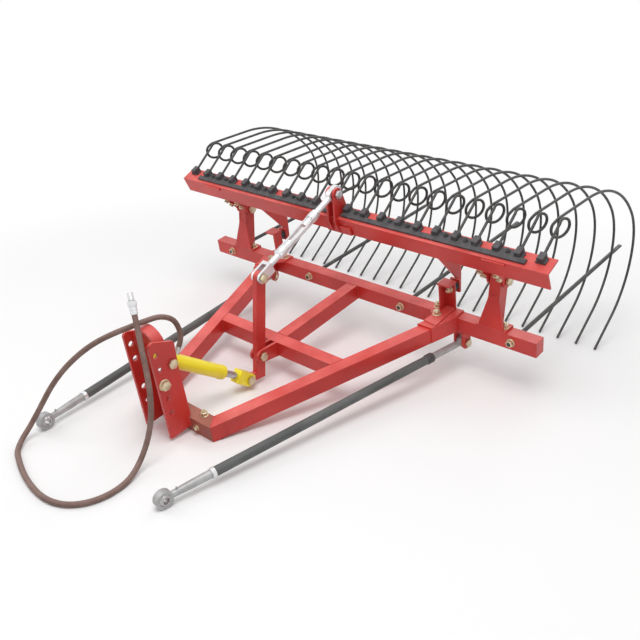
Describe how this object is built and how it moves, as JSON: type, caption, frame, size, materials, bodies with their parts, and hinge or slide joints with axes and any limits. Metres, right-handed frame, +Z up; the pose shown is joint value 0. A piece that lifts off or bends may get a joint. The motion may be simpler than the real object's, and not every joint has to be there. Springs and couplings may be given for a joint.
{
  "type": "tractor-mounted spring-tine dump rake",
  "caption": "Three-point dump rake with a row of coiled spring tines on a pivoting head, lifted through a lever and link by a hydraulic cylinder.",
  "frame": {"origin": "on the floor under the middle of the machine, the loose hose left out", "axes": "+X to the machine's left, +Y rearward from the hitch to the tines, +Z up"},
  "size_m": [1.768, 2.3484, 0.6897],
  "materials": {
    "red_paint": "worn red enamel, faded in patches",
    "cast_iron": "rough dark casting",
    "black_steel": "black, satin",
    "plated_steel": "zinc plated, dulled",
    "yellow_paint": "glossy yellow enamel",
    "rubber": "matt black",
    "hose": "brown, dusty"
  },
  "bodies": {
    "frame": {"toolbar": "red_paint", "side_members": "red_paint", "front_member": "red_paint", "middle_member": "red_paint", "centre_member": "red_paint", "tube_caps": "red_paint", "corner_gussets": "red_paint", "hitch_cheeks": "red_paint", "hitch_web": "red_paint", "hitch_arch": "red_paint", "cylinder_spacers": "red_paint", "cylinder_pin": "plated_steel", "lever_lug": "red_paint", "lever_pin": "plated_steel", "draft_lugs": "red_paint", "draft_pins": "plated_steel", "pedestals": "red_paint", "pivot_pins": "plated_steel", "buffer_posts": "red_paint", "buffers": "rubber", "stripper_rods": "black_steel", "hose": "hose", "hose_fitting": "plated_steel"},
    "rake_head": {"head_bar": "red_paint", "pivot_brackets": "red_paint", "head_arm": "red_paint", "arm_pin": "plated_steel", "stop_arms": "red_paint", "tine_holders": "cast_iron", "tines_left": "black_steel", "tines_right": "black_steel"},
    "lever": {"lever": "red_paint", "lever_top_pin": "plated_steel", "lever_foot_pin": "plated_steel"},
    "link": {"link_fork": "plated_steel", "link_sleeve": "plated_steel", "link_eye": "plated_steel"},
    "cylinder": {"cylinder_barrel": "yellow_paint", "cylinder_gland": "yellow_paint", "port_elbow": "plated_steel"},
    "piston": {"piston_rod": "plated_steel", "rod_fork": "yellow_paint"},
    "left_draft": {"left_draft_rod": "plated_steel", "left_draft_tube": "black_steel", "left_draft_ball": "plated_steel"},
    "right_draft": {"right_draft_rod": "plated_steel", "right_draft_tube": "black_steel", "right_draft_ball": "plated_steel"}
  },
  "joints": [
    {"name": "head_lift", "type": "hinge", "parent": "frame", "child": "rake_head", "pos_m": [0, 0.20795, 0.41289], "axis": [1, 0, 0], "range_deg": [0, 45]},
    {"name": "lever_swing", "type": "hinge", "parent": "frame", "child": "lever", "pos_m": [0, -0.3522, 0.11247], "axis": [1, 0, 0], "range_deg": [0, 33]},
    {"name": "link_swing", "type": "hinge", "parent": "lever", "child": "link", "pos_m": [0, -0.33559, 0.414], "axis": [1, 0, 0], "range_deg": [-50.5, 0]},
    {"name": "cylinder_swing", "type": "hinge", "parent": "frame", "child": "cylinder", "pos_m": [0, -0.79091, 0.27842], "axis": [1, 0, 0], "range_deg": [-1, 1]},
    {"name": "piston_slide", "type": "slide", "parent": "cylinder", "child": "piston", "axis": [0, 0.8428, -0.5382], "range_m": [0, 0.056]},
    {"name": "left_draft_swing", "type": "hinge", "parent": "frame", "child": "left_draft", "pos_m": [0.505, 0.2199, 0.11642], "axis": [-0.989, 0.1456, 0.0258], "range_deg": [-12, 15]},
    {"name": "right_draft_swing", "type": "hinge", "parent": "frame", "child": "right_draft", "pos_m": [-0.505, 0.2199, 0.11642], "axis": [-0.989, -0.1456, -0.0258], "range_deg": [-12, 15]}
  ],
  "couplings": [
    {"joint": "lever_swing", "follows": "head_lift", "ratio": 0.72923},
    {"joint": "link_swing", "follows": "head_lift", "ratio": -1.1142},
    {"joint": "cylinder_swing", "follows": "head_lift", "ratio": 0.0083017},
    {"joint": "piston_slide", "follows": "head_lift", "m_per_rad": 0.070303}
  ]
}
